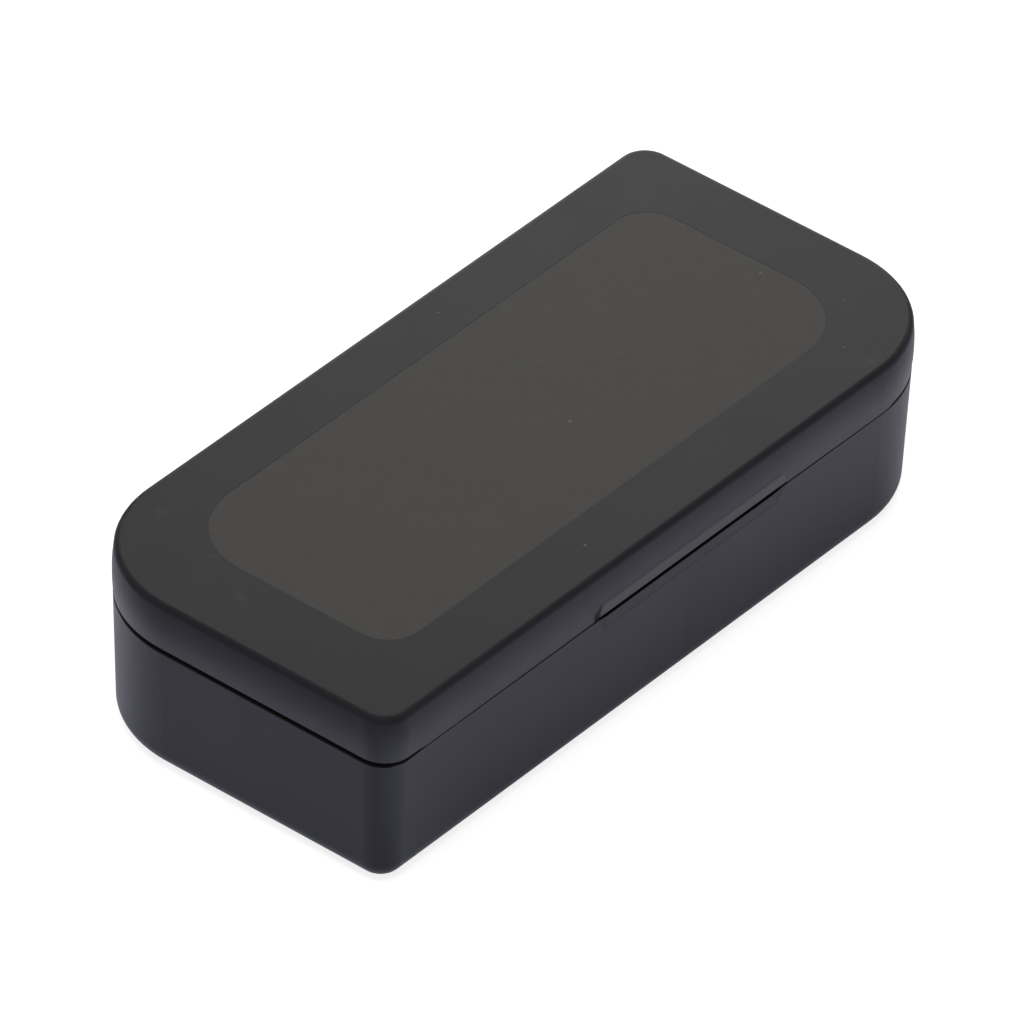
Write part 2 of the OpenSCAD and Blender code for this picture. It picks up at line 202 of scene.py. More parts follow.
class CaseFinish(PropertyGroup):
    """Colours and sizes of the moulded plastic"""
    top_colour: FloatVectorProperty(
        name="Top", description="Colour of the shells on their level faces", subtype="COLOR",
        size=4, default=(0.0108, 0.0109, 0.0120, 1), min=0, max=1)
    # The upright faces' bluish tint is a painted reflection
    wall_colour_and_cool_reflection: FloatVectorProperty(
        name="Walls", description="Colour of the shells on their upright faces", subtype="COLOR",
        size=4, default=(0.0125, 0.0125, 0.0200, 1), min=0, max=1)
    panel_colour: FloatVectorProperty(
        name="Panel", description="Colour of the finer panel in the lid", subtype="COLOR",
        size=4, default=(0.0455, 0.0438, 0.0418, 1), min=0, max=1)
    # Also lightens the lip as a painted reflection and the rims as a painted highlight
    dust_and_highlight_colour: FloatVectorProperty(
        name="Dust", description="Colour of dust and scuffs", subtype="COLOR",
        size=4, default=(0.16, 0.16, 0.165, 1), min=0, max=1)
    roughness: FloatProperty(
        name="Roughness", description="Roughness of the moulded plastic", default=0.42, min=0, max=1)
    panel_roughness: FloatProperty(
        name="Panel roughness", description="Roughness of the panel", default=0.62, min=0, max=1)
    shine: FloatProperty(
        name="Shine", description="Specular level of the plastic", default=0.25, min=0, max=1)
    panel_x: FloatProperty(
        name="Panel aside", description="The panel's middle, to the right of the case's",
        default=0.7 * MM, unit="LENGTH")
    panel_y: FloatProperty(
        name="Panel back", description="The panel's middle, behind the case's",
        default=0.35 * MM, unit="LENGTH")
    panel_length: FloatProperty(
        name="Panel length", description="Length of the panel", default=69 * MM, unit="LENGTH")
    panel_width: FloatProperty(
        name="Panel width", description="Width of the panel", default=26.6 * MM, unit="LENGTH")
    panel_depth: FloatProperty(
        name="Panel depth", description="Depth of the panel below the lid's top",
        default=0.08 * MM, unit="LENGTH")
    grain: FloatProperty(
        name="Grain", description="Size of the spark-eroded grain", default=0.2 * MM, unit="LENGTH")
    grain_depth: FloatProperty(
        name="Grain depth", description="Depth of the grain", default=0.006 * MM, unit="LENGTH")
    # On the lip this is wear and a painted reflection
    lip_wear_and_reflection: FloatProperty(
        name="Lip wear", description="Share of the dust's colour on the rubbed lip",
        default=0.42, min=0, max=1)
    lip_reach: FloatProperty(
        name="Lip's reach", description="How far the lip stands out of the lid's wall",
        default=0.19 * MM, unit="LENGTH")
    # The place and strength of a darker upright strip in the base's front
    mark_x: FloatProperty(
        name="Flow mark", description="Place of the flow mark in the front, right of the middle",
        default=1.1 * MM, unit="LENGTH")
    mark_shade: FloatProperty(
        name="Mark's shade", description="Share by which the flow mark darkens the plastic",
        default=0.35, min=0, max=1)
    scuff: FloatProperty(
        name="Scuffs", description="Share of the dust's colour in the scuffs",
        default=0.07, min=0, max=1)
    # On the rims this is wear and a painted highlight
    rim_wear_and_highlight: FloatProperty(
        name="Rim wear", description="Share of the dust's colour on the rubbed rims",
        default=0.2, min=0, max=1)
    soft_edge: FloatProperty(
        name="Soft edge", description="Radius by which the moulding softens its edges",
        default=0.12 * MM, unit="LENGTH")
    wall_roll: FloatProperty(
        name="Wall roll", description="Slope by which the lid's walls look rolled at their edges",
        default=0.18, min=0, max=0.5)
    grip_roll: FloatProperty(
        name="Grip roll", description="Slope by which the grip's faces look rolled out",
        default=0.28, min=0, max=0.6)
    grip_length: FloatProperty(
        name="Grip length", description="Length of the grip's faces", default=27.6 * MM, unit="LENGTH")
    scoop_height: FloatProperty(
        name="Scoop height", description="Height of the scoop below the parting line",
        default=1.5 * MM, unit="LENGTH")


class ShellForm(PropertyGroup):
    """Where the shells' rims, grip and panel settle"""
    parting: FloatProperty(
        name="Parting", description="Height of the base's rim", default=13.95 * MM, unit="LENGTH")
    rim_gap: FloatProperty(
        name="Rim gap", description="Clearance between the rims as they are built",
        default=0.08 * MM, unit="LENGTH")
    closed_gap: FloatProperty(
        name="Closed gap", description="Gap left between the rims where the case is shut",
        default=0.008 * MM, unit="LENGTH")
    edge_break: FloatProperty(
        name="Edge break", description="Height of the rims' edge breaks as they are built",
        default=0.15 * MM, unit="LENGTH")
    groove: FloatProperty(
        name="Groove", description="Height of the rims' edge breaks once rubbed down",
        default=0.06 * MM, unit="LENGTH")
    reveal_reach: FloatProperty(
        name="Reveal's reach", description="Distance from the middle past which the rims part",
        default=27.5 * MM, unit="LENGTH")
    left_reveal: FloatProperty(
        name="Left reveal", description="Share of the rims' parting that stays at the left end",
        default=0.82, min=0, max=1)
    right_reveal: FloatProperty(
        name="Right reveal", description="Share of the rims' parting that stays at the right end",
        default=0.4, min=0, max=1)
    grip_reach: FloatProperty(
        name="Grip's reach", description="Distance from the middle within which the grip lies",
        default=17 * MM, unit="LENGTH")
    grip_depth: FloatProperty(
        name="Grip's depth", description="Depth behind the front within which the grip lies",
        default=1.1 * MM, unit="LENGTH")
    grip_aside: FloatProperty(
        name="Grip aside", description="The grip's middle, to the right of the case's",
        default=1.26 * MM, unit="LENGTH")
    slit_top: FloatProperty(
        name="Slit's top", description="Height of the lip's underside above the parting line as built",
        default=0.76 * MM, unit="LENGTH")
    slit_share: FloatProperty(
        name="Slit", description="Share of that height that stays open", default=0.72, min=0, max=1)
    scoop_inset: FloatProperty(
        name="Scoop's inset", description="Distance from the front to the scoop's deepest points",
        default=0.25 * MM, unit="LENGTH")
    scoop_fade: FloatProperty(
        name="Scoop's ends", description="Length over which the scoop runs out at its ends",
        default=1.6 * MM, unit="LENGTH")
    slit_drop_share: FloatProperty(
        name="Slit's floor", description="Share of the slit's drop into the base's rim that stays open",
        default=0.78, min=0, max=1)
    lip_height: FloatProperty(
        name="Lip height", description="Height of the lip", default=1.3 * MM, unit="LENGTH")
    lip_lean: FloatProperty(
        name="Lip's ends", description="How far the lip's ends lean in over its height",
        default=1.0 * MM, unit="LENGTH")
    web_foot: FloatProperty(
        name="Web's foot", description="Height of the foot of the magnets' webs in the front wall",
        default=0.75 * MM, unit="LENGTH")
    web_inset: FloatProperty(
        name="Web's inset", description="About how far behind the front that foot lies",
        default=0.675 * MM, unit="LENGTH")
    web_room: FloatProperty(
        name="Web's room", description="How far the foot sinks back to lie flush with the rounded edge",
        default=0.168 * MM, unit="LENGTH")
    panel_step: FloatProperty(
        name="Panel's step", description="Step down to the lid's panel",
        default=0.02 * MM, unit="LENGTH")


class MetalFinish(PropertyGroup):
    """Colours and marks of the pins and magnets"""
    steel_colour: FloatVectorProperty(
        name="Steel", description="Colour of the drawn steel", subtype="COLOR",
        size=4, default=(0.55, 0.54, 0.53, 1), min=0, max=1)
    nickel_colour: FloatVectorProperty(
        name="Nickel", description="Colour of the nickel plating", subtype="COLOR",
        size=4, default=(0.66, 0.62, 0.55, 1), min=0, max=1)
    draw_line: FloatProperty(
        name="Draw lines", description="Width of the lines along the drawn pins",
        default=0.06 * MM, unit="LENGTH")
    scratch: FloatProperty(
        name="Scratches", description="Length of the fine scratches on the magnets",
        default=0.8 * MM, unit="LENGTH")


class FoamCut(PropertyGroup):
    """Sizes, cells and colour of the foam"""
    colour: FloatVectorProperty(
        name="Foam", description="Colour of the foam", subtype="COLOR",
        size=4, default=(0.020, 0.0205, 0.0225, 1), min=0, max=1)
    # The darker colour in the cells' hollows is painted shade
    cell_shade_colour: FloatVectorProperty(
        name="Cells", description="Colour inside the cut cells", subtype="COLOR",
        size=4, default=(0.006, 0.006, 0.007, 1), min=0, max=1)
    cell: FloatProperty(
        name="Cell", description="Size of the foam's cells", default=0.42 * MM, unit="LENGTH")
    edge_round: FloatProperty(
        name="Edge round", description="Radius of the foam's worn-in edges",
        default=0.55 * MM, unit="LENGTH")
    waist: FloatProperty(
        name="Waist", description="How far a die-cut side draws in at half its height",
        default=0.22 * MM, unit="LENGTH")
    big_corner: FloatProperty(
        name="Large corner", description="Radius of the sheets' two large corners",
        default=10.6 * MM, unit="LENGTH")
    small_corner: FloatProperty(
        name="Small corner", description="Radius of the sheets' two small corners",
        default=0.9 * MM, unit="LENGTH")
    boss_x: FloatProperty(
        name="Boss place", description="Distance of the magnets' bosses from the middle",
        default=24 * MM, unit="LENGTH")
    boss_room: FloatProperty(
        name="Boss room", description="Half the width of the notch round a boss",
        default=3.85 * MM, unit="LENGTH")
    boss_back: FloatProperty(
        name="Boss notch", description="How far behind the front wall the notches end",
        default=-11.1 * MM, unit="LENGTH")
    pocket_length: FloatProperty(
        name="Pocket length", description="Length of the drive's pocket",
        default=62 * MM, unit="LENGTH")
    pocket_width: FloatProperty(
        name="Pocket width", description="Width of the drive's pocket",
        default=20.4 * MM, unit="LENGTH")
    pocket_y: FloatProperty(
        name="Pocket place", description="The pocket's middle, behind the case's",
        default=1.6 * MM, unit="LENGTH")
    pocket_corner: FloatProperty(
        name="Pocket corner", description="Radius of the pocket's corners",
        default=2.5 * MM, unit="LENGTH")
    notch_radius: FloatProperty(
        name="Notch radius", description="Radius of the finger notches", default=9 * MM, unit="LENGTH")
    notch_reach: FloatProperty(
        name="Notch reach", description="How far a finger notch reaches out of the pocket",
        default=4 * MM, unit="LENGTH")
    corner_steps: IntProperty(
        name="Corner steps", description="Facets of a rounded corner", default=14, min=3, max=32)
    side_steps: IntProperty(
        name="Side steps", description="Rings up a die-cut side", default=7, min=2, max=16)


class StudioLook(PropertyGroup):
    """Camera and light"""
    azimuth: FloatProperty(
        name="Azimuth", description="Direction of the camera round the case",
        default=math.radians(-51.55), subtype="ANGLE")
    elevation: FloatProperty(
        name="Elevation", description="Height of the camera above the horizon",
        default=math.radians(37.67), subtype="ANGLE")
    roll: FloatProperty(
        name="Roll", description="Turn of the camera about its own axis",
        default=math.radians(1.93), subtype="ANGLE")
    distance: FloatProperty(
        name="Distance", description="From the camera to the middle of the case",
        default=1.3381, unit="LENGTH")
    lens: FloatProperty(
        name="Lens", description="Focal length in millimetres", default=499.74, min=50, max=1200)
    aim_height: FloatProperty(
        name="Aim height", description="Height above the floor of the point that the camera looks at",
        default=9.4 * MM, unit="LENGTH")
    aside: FloatProperty(
        name="Aside", description="How far the case stands to the right of the picture's middle",
        default=0.34 * MM, unit="LENGTH")
    raised: FloatProperty(
        name="Raised", description="How far the case stands above the picture's middle",
        default=0.13 * MM, unit="LENGTH")
    canopy_level: FloatProperty(
        name="Canopy", description="Brightness of the lit part of the room", default=0.4, min=0, max=4)
    room_level: FloatProperty(
        name="Room", description="Brightness of the rest of the room", default=0.28, min=0, max=4)
    canopy_inner: FloatProperty(
        name="Canopy's middle", description="Angle from the canopy's middle where it starts to fade",
        default=math.radians(37), subtype="ANGLE")
    canopy_outer: FloatProperty(
        name="Canopy's edge", description="Angle from the canopy's middle where it ends",
        default=math.radians(63), subtype="ANGLE")
    softbox_power: FloatProperty(
        name="Softbox", description="Power of the softbox behind the case, in watts",
        default=0.12, min=0)
    overhead_power: FloatProperty(
        name="Overhead", description="Power of the lamp above the case, in watts",
        default=6.0, min=0)
    floor_albedo: FloatProperty(
        name="Floor", description="Grey of the floor's paper", default=0.4, min=0, max=1)
    floor_glow: FloatProperty(
        name="Floor glow", description="Share of white that the paper shows by itself",
        default=0.82, min=0, max=1)
    floor_mirror: FloatProperty(
        name="Floor in gloss", description="Brightness of the near floor in glossy faces",
        default=0.62, min=0, max=2)
    # A painted contact shadow in the floor's glossy glow
    contact_dim: FloatProperty(
        name="Contact", description="Share of that brightness close to the case's front",
        default=0.6, min=0, max=2)
    end_gain: FloatProperty(
        name="Left end", description="Gain of that brightness beside the case's left end",
        default=1.7, min=0, max=3)
    right_gain: FloatProperty(
        name="Right end", description="Gain of that brightness beside the case's right end",
        default=1.22, min=0, max=3)
    bounce_colour: FloatVectorProperty(
        name="Bounce", description="Tint of the floor in glossy faces", subtype="COLOR",
        size=4, default=(0.93, 0.95, 1.15, 1), min=0, max=2)
    sheet_size: FloatProperty(
        name="Sheet", description="Distance at which the bright paper ends, in glossy faces",
        default=52 * MM, unit="LENGTH")


# Shells

# Sizes of the plastic's clouds, its mottling, its worn patches and the streaks in its scuffs
CLOUD = 9 * MM
MOTTLE = 0.9 * MM
WORN_PATCH = 3.2 * MM
STREAK = 0.9 * MM

# Shares of the dust's colour on worn edges and in specks of dust
EDGE_WEAR = 0.1
SPECK = 0.6

# Depths below the rim between which the darker strip in the base's front sets in, the width of its
# sharp left side, and the distances to the right of it between which it fades
MARK_TOP = (1.5 * MM, 2.4 * MM)
MARK_EDGE = 0.12 * MM
MARK_FADE = (0.8 * MM, 4.5 * MM)

# Distances from the parting line over which the rims' wear and painted highlight fade, and the width of
# the lip's edge
RIM_BAND = (0.08 * MM, 0.3 * MM)
LIP_EDGE = 0.06 * MM

# How far past the panel its level normals reach
PANEL_MARGIN = 0.5 * MM

# Share of the radius of a speck of dust, and of a scuff, within which it is at full strength
SPECK_CORE = 0.45
SCUFF_CORE = 0.2


def lid_top():
    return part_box("lid_shell")[1].z


def lip_front(look):
    """Where the lip starts to stand out of the lid's wall, along y."""
    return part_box("lid_shell")[0].y + look.lip_reach


def base_front(tree, axes):
    """One in the front wall of the base."""
    return maths(tree, "LESS_THAN", axes[1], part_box("base_shell")[0].y + MM / 2)


def panel_mask(tree, look, axes, height, margin):
    """One at and below a height, within a margin of the shallow panel in the lid's top."""
    below = within(tree, axes[2], height - 0.4 * MM, height)
    across_x = maths(tree, "COMPARE", axes[0], look.panel_x, look.panel_length / 2 + margin)
    across_y = maths(tree, "COMPARE", axes[1], look.panel_y, look.panel_width / 2 + margin)
    return product(tree, below, across_x, across_y)


def grip_mask(tree, look, form, axes):
    """One on the thumb grip, in the middle of the front."""
    above = maths(tree, "GREATER_THAN", axes[2], form.parting)
    lip = product(tree, maths(tree, "LESS_THAN", axes[1], lip_front(look)), above)
    below = within(tree, axes[2], form.parting - look.scoop_height, form.parting)
    scoop = product(tree, base_front(tree, axes), below)
    across = maths(tree, "COMPARE", axes[0], form.grip_aside, look.grip_length / 2)
    return product(tree, across, maths(tree, "MAXIMUM", lip, scoop))


def tilted_walls(tree, look, form, axes, facing):
    """The soft-edged normal, with the lid's walls rolled out at the rim and in at the top.

    The faces of the thumb grip are rolled out too, and the panel's rim faces up."""
    panel = panel_mask(tree, look, axes, lid_top() + MM / 20, PANEL_MARGIN)
    upright = ramp(tree, maths(tree, "ABSOLUTE", facing[2]), 0.5, 0.2)
    on_lid = maths(tree, "GREATER_THAN", axes[2], form.parting)
    slope = ramp(tree, axes[2], form.parting, lid_top(), -look.wall_roll, look.wall_roll)
    roll = product(tree, upright, on_lid, slope)
    grip = product(tree, upright, grip_mask(tree, look, form, axes))
    lean = mix_value(tree, grip, roll, -look.grip_roll)
    upwards = add(
        tree, "ShaderNodeVectorTransform", {0: (0, 0, 1)}, vector_type="NORMAL",
        convert_from="OBJECT", convert_to="WORLD").outputs[0]
    rolled = summed(tree, soft_normal(tree, look.soft_edge), scaled(tree, upwards, lean))
    level = add(tree, "ShaderNodeMix", {0: panel, 4: rolled, 5: upwards}, data_type="VECTOR").outputs[1]
    return add(tree, "ShaderNodeVectorMath", {0: level}, operation="NORMALIZE").outputs[0]


def worn_edges(tree, look, position):
    """One where an edge has been rubbed, in broken patches."""
    soft = soft_normal(tree, 1.6 * look.soft_edge)
    face = add(tree, "ShaderNodeNewGeometry").outputs["Normal"]
    along = add(tree, "ShaderNodeVectorMath", {0: soft, 1: face}, operation="DOT_PRODUCT")
    edge = ramp(tree, along.outputs["Value"], 0.985, 0.86)
    patches = ramp(tree, noise(tree, position, WORN_PATCH, detail=3), 0.42, 0.62)
    return maths(tree, "MULTIPLY", edge, patches)


def darker_strip(tree, look, form, axes):
    """Darkens a faint upright strip in the base's front, sharp on its left side and fading to the
    right.
    """
    below = ramp(tree, axes[2], form.parting - MARK_TOP[1], form.parting - MARK_TOP[0], 1.0, 0.0)
    start = ramp(tree, axes[0], look.mark_x - MARK_EDGE, look.mark_x)
    fade = ramp(tree, axes[0], look.mark_x + MARK_FADE[0], look.mark_x + MARK_FADE[1], 1.0, 0.0, True)
    mark = product(tree, base_front(tree, axes), below, start, fade, look.mark_shade)
    return maths(tree, "SUBTRACT", 1.0, mark)


def rubbed(tree, look, form, position, axes):
    """Share of the dust's colour on the edges, the lip and the rims: wear on the edges, wear with a
    painted reflection on the lip, and wear with a painted highlight on the rims.
    """
    edges = maths(tree, "MULTIPLY", worn_edges(tree, look, position), EDGE_WEAR)
    proud = lip_front(look)
    # The lip's proud face is lightened: wear and a painted reflection
    lip = product(
        tree, grip_mask(tree, look, form, axes),
        ramp(tree, axes[1], proud - LIP_EDGE, proud, look.lip_wear_and_reflection, 0.0))
    # A band along the parting line is lightened: wear and a painted highlight
    away = maths(tree, "ABSOLUTE", maths(tree, "SUBTRACT", axes[2], form.parting))
    rims = maths(tree, "MULTIPLY", ramp(tree, away, *RIM_BAND, 1, 0), look.rim_wear_and_highlight)
    return maths(tree, "MAXIMUM", maths(tree, "MAXIMUM", edges, lip), rims)


def dusted(tree, look, position, colour):
    """Lays specks of dust and faint scuffs on the lid's top."""
    broken = noise(tree, position, STREAK, detail=4, roughness=0.6)
    streaks = ramp(tree, broken, 0.4, 0.7, 0.0, look.scuff)
    for marks, core, strength in ((DUST, SPECK_CORE, SPECK), (SCUFFS, SCUFF_CORE, streaks)):
        for x, y, radius in marks:
            place = (x * MM, y * MM, lid_top())
            spot = near(tree, position, place, core * radius * MM, radius * MM)
            share = maths(tree, "MULTIPLY", spot, strength)
            colour = mix_colour(tree, share, colour, tuple(look.dust_and_highlight_colour))
    return colour


def moulded_plastic(look, form):
    material, tree, shader = new_material("moulded_plastic")
    position = object_place(tree)
    axes = axes_of(tree, position)
    facing = object_facing(tree)
    panel = panel_mask(tree, look, axes, lid_top() - form.panel_step / 2, MM / 10)

    # Level faces are a neutral black and upright ones a cooler one, whose bluish tint is a painted
    # reflection
    level = ramp(tree, maths(tree, "ABSOLUTE", facing[2]), 0.55, 0.97, smooth=True)
    colour = mix_colour(tree, level, tuple(look.wall_colour_and_cool_reflection), tuple(look.top_colour))
    colour = mix_colour(tree, panel, colour, tuple(look.panel_colour))

    # Slow clouds of the moulding, its mottling and a darker upright strip in the base's front
    clouds = noise(tree, position, CLOUD, detail=3)
    mottle = noise(tree, position, MOTTLE, detail=4, roughness=0.65)
    shade = maths(tree, "ADD", spread(tree, clouds, 0.95, 1.05), spread(tree, mottle, -0.05, 0.05))
    shade = maths(tree, "MULTIPLY", shade, darker_strip(tree, look, form, axes))
    # Wear on the edges, with a painted reflection on the lip and a painted highlight on the rims
    wear = rubbed(tree, look, form, position, axes)
    worn = mix_colour(tree, wear, scaled(tree, colour, shade), tuple(look.dust_and_highlight_colour))
    tree.links.new(dusted(tree, look, position, worn), shader.inputs["Base Color"])

    matt = mix_value(tree, panel, look.roughness, look.panel_roughness)
    patchy = maths(tree, "ADD", matt, spread(tree, clouds, -0.02, 0.02))
    tree.links.new(patchy, shader.inputs["Roughness"])
    shader.inputs["Specular IOR Level"].default_value = look.shine

    # The grain is finer on the panel
    grain = noise(tree, position, look.grain, detail=3)
    finer = noise(tree, position, look.grain / 2, detail=2)
    height = mix_value(tree, panel, grain, finer)
    walls = tilted_walls(tree, look, form, axes, facing)
    relief(tree, shader, height, look.grain_depth, Normal=walls)
    return material


def merged_copy(source):
    """A closed copy of a shell's mesh that remembers the smooth normals of its faces' corners."""
    shape = bmesh.new()
    shape.from_mesh(source)
    smooth = shape.loops.layers.float_vector.new("smooth_normal")
    for face in shape.faces:
        for loop in face.loops:
            loop[smooth] = source.corner_normals[loop.index].vector
    bmesh.ops.remove_doubles(shape, verts=shape.verts, dist=MERGE)
    return shape


def keep_curves(mesh):
    """Gives the faces their remembered normals, but those that were turned by the settling."""
    smooth = mesh.attributes["smooth_normal"].data
    least = math.cos(TURNED)
    normals = []
    for face in mesh.polygons:
        face.use_smooth = True
        for index in face.loop_indices:
            remembered = smooth[index].vector
            kept = remembered.dot(face.normal) > least
            normals.append(tuple(remembered if kept else face.normal))
    mesh.normals_split_custom_set(normals)
    mesh.attributes.remove(mesh.attributes["smooth_normal"])


def in_grip(form, front, x, y):
    return abs(x) < form.grip_reach and y < front + form.grip_depth


def settle_base(form, verts):
    """Closes the base's rim at the ends, moves the scoop aside and sinks the webs' feet flush."""
    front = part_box("base_shell")[0].y
    for vert in verts:
        x, y, z = vert.co
        below = form.parting - z
        gripped = in_grip(form, front, x, y)
        if gripped:
            vert.co.x += form.grip_aside
        if abs(below - form.edge_break) < TOUCH:
            vert.co.z = form.parting - form.groove
        elif abs(x) > form.reveal_reach and 0 < below < MM:
            vert.co.z = form.parting - (form.left_reveal if x < 0 else form.right_reveal) * below
        elif gripped and 0 < below < MM:
            vert.co.z = form.parting - form.slit_drop_share * below
            if abs(y - front - form.scoop_inset) < 0.1 * MM:
                vert.co.x -= math.copysign(form.scoop_fade, x)
        if abs(z - form.web_foot) < TOUCH and abs(y - front - form.web_inset) < 0.075 * MM:
            vert.co.y += form.web_room


def settle_lid(form, finish, verts):
    """Shuts the lid's rim on the base, and shapes the grip and the panel."""
    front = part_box("base_shell")[0].y
    top = lid_top()
    rim = form.parting + form.rim_gap
    shut = form.parting + form.closed_gap
    slit = form.parting + form.slit_top
    slit_scale = (form.slit_share * form.slit_top - form.closed_gap) / (slit - rim)
    for vert in verts:
        x, y, z = vert.co
        if in_grip(form, front, x, y) and rim - TOUCH < z:
            above = max(z - slit, 0)
            vert.co.z = shut + slit_scale * (min(z, slit) - rim) + above
            lean = form.lip_lean * min(above / form.lip_height, 1)
            vert.co.x = x - math.copysign(lean, x) + form.grip_aside
        elif abs(z - rim) < TOUCH:
            vert.co.z = shut
        elif abs(z - rim - form.edge_break) < 2.5 * TOUCH and y < front + form.edge_break:
            vert.co.z = shut + form.groove
        elif x < -form.reveal_reach and rim < z < rim + 0.6 * MM:
            vert.co.z = shut + form.left_reveal * (z - rim)
        elif abs(z - (top - finish.panel_depth)) < TOUCH:
            vert.co.z = top - form.panel_step


class CASE_OT_settle_shells(Operator):
    """Copies both shells, closes their rims, shapes the grip and gives them their moulded plastic"""
    bl_idname = "case.settle_shells"
    bl_label = "Settle the shells"

    def execute(self, context):
        scene = context.scene
        material = moulded_plastic(scene.case_finish, scene.case_form)
        for name, body in SHELLS:
            shape = merged_copy(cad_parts[name].data)
            if body == "base":
                settle_base(scene.case_form, shape.verts)
            else:
                settle_lid(scene.case_form, scene.case_finish, shape.verts)
            bmesh.ops.remove_doubles(shape, verts=shape.verts, dist=MERGE)
            mesh = bpy.data.meshes.new(name + "_moulding")
            shape.to_mesh(mesh)
            shape.free()
            keep_curves(mesh)
            mesh.materials.clear()
            mesh.materials.append(material)
            piece = bpy.data.objects.new(name + "_moulding", mesh)
            scene.collection.objects.link(piece)
            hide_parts(name)
            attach(piece, body)
        return {"FINISHED"}


# Metal

# Shares to which a pattern is drawn out along the pins, and along the magnets' scratches
ALONG_PIN = 0.02
ALONG_SCRATCH = 0.04

# Turn of those scratches, in radians, and what their length is divided by to give their width
SCRATCH_TURN = 0.6
SCRATCH_SHAPE = 12

# Sizes of the film on the steel and of the bloom on the nickel
FILM = 1.1 * MM
BLOOM = 1.4 * MM

# Depths of the draw lines and of the scratches, and the radius of the magnets' soft edges
LINE_DEPTH = 0.004 * MM
SCRATCH_DEPTH = 0.002 * MM
PLATE_EDGE = 0.15 * MM


def drawn_steel(look):
    material, tree, shader = new_material("drawn_steel")
    position = object_place(tree)
    # The lines run along the pin, so the pattern is stretched that way
    drawn = add(tree, "ShaderNodeVectorMath", {0: position, 1: (ALONG_PIN, 1, 1)}, operation="MULTIPLY")
    lines = noise(tree, drawn.outputs[0], look.draw_line, detail=3)
    film = noise(tree, position, FILM, detail=3)
    colour = scaled(tree, look.steel_colour[:3], spread(tree, film, 0.86, 1.04))
    tree.links.new(colour, shader.inputs["Base Color"])
    shader.inputs["Metallic"].default_value = 1
    tree.links.new(spread(tree, lines, 0.24, 0.42), shader.inputs["Roughness"])
    relief(tree, shader, lines, LINE_DEPTH)
    return material


def nickel_plate(look):
    material, tree, shader = new_material("nickel_plate")
    position = object_place(tree)
    turned = add(tree, "ShaderNodeMapping", {
        "Vector": position, "Rotation": (0, 0, SCRATCH_TURN), "Scale": (1, ALONG_SCRATCH, 1)})
    scratches = noise(tree, turned.outputs[0], look.scratch / SCRATCH_SHAPE, detail=2)
    hairs = ramp(tree, scratches, 0.62, 0.72)
    bloom = noise(tree, position, BLOOM, detail=3)
    colour = scaled(tree, look.nickel_colour[:3], spread(tree, bloom, 0.88, 1.03))
    tree.links.new(colour, shader.inputs["Base Color"])
    shader.inputs["Metallic"].default_value = 1
    rough = maths(tree, "ADD", spread(tree, bloom, 0.14, 0.22), maths(tree, "MULTIPLY", hairs, 0.2))
    tree.links.new(rough, shader.inputs["Roughness"])
    relief(tree, shader, hairs, -SCRATCH_DEPTH, Normal=soft_normal(tree, PLATE_EDGE))
    return material


class CASE_OT_finish_metal(Operator):
    """Gives the pins their drawn steel and the magnets their nickel"""
    bl_idname = "case.finish_metal"
    bl_label = "Finish the metal"

    def execute(self, context):
        look = context.scene.case_metal
        for names, material in ((PINS, drawn_steel(look)), (MAGNETS, nickel_plate(look))):
            for name in names:
                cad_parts[name].material_slots[0].material = material
        return {"FINISHED"}


# Foam

# Sizes of the foam's clouds and of the slow sag in its faces
FOAM_CLOUD = 7 * MM
SAG = 5 * MM

# Depths of the sag and of the cells
SAG_DEPTH = 0.25 * MM
CELL_DEPTH = 0.09 * MM


def foam_cells(look):
    material, tree, shader = new_material("closed_cell_foam")
    position = object_place(tree)
    # The cells are deep in the cut sides and shallow in the level faces
    facing = object_facing(tree)
    cut = ramp(tree, maths(tree, "ABSOLUTE", facing[2]), 0.35, 0.75, 1.0, 0.35)
    wander = add(tree, "ShaderNodeTexNoise", {"Vector": position, "Scale": 1 / (2 * look.cell)})
    moved = summed(tree, position, scaled(tree, wander.outputs["Color"], 0.6 * look.cell))
    cells = add(tree, "ShaderNodeTexVoronoi", {"Vector": moved, "Scale": 1 / look.cell}, feature="F1")
    hollow = ramp(tree, cells.outputs[0], 0.1, 0.6, 1.0, 0.0, smooth=True)
    depth = maths(tree, "MULTIPLY", hollow, cut)
    clouds = spread(tree, noise(tree, position, FOAM_CLOUD, detail=3), 0.85, 1.12)
    base = scaled(tree, look.colour[:3], clouds)
    # The cells' hollows are darkened: painted shade
    colour = mix_colour(tree, maths(tree, "MULTIPLY", depth, 0.8), base, tuple(look.cell_shade_colour))
    tree.links.new(colour, shader.inputs["Base Color"])
    tree.links.new(ramp(tree, hollow, 0.0, 1.0, 0.72, 0.9), shader.inputs["Roughness"])
    shader.inputs["Specular IOR Level"].default_value = 0.3
    sag = noise(tree, position, SAG, detail=1)
    skin = add(tree, "ShaderNodeBump", {"Height": sag, "Distance": SAG_DEPTH, "Strength": 0.6})
    relief(tree, shader, depth, -CELL_DEPTH, Normal=skin.outputs[0])
    return material


def everything(shape):
    return shape.verts[:] + shape.edges[:] + shape.faces[:]


def rounded_face(shape, corners, z, steps):
    """A level face whose corners, each given as x, y and radius, are rounded."""
    verts = [shape.verts.new((x, y, z)) for x, y, _ in corners]
    shape.faces.new(verts)
    for vert, (_, _, radius) in zip(verts, corners):
        bmesh.ops.bevel(
            shape, geom=[vert], offset=radius, offset_type="OFFSET", affect="VERTICES",
            segments=steps, profile=0.5, material=-1, clamp_overlap=True)


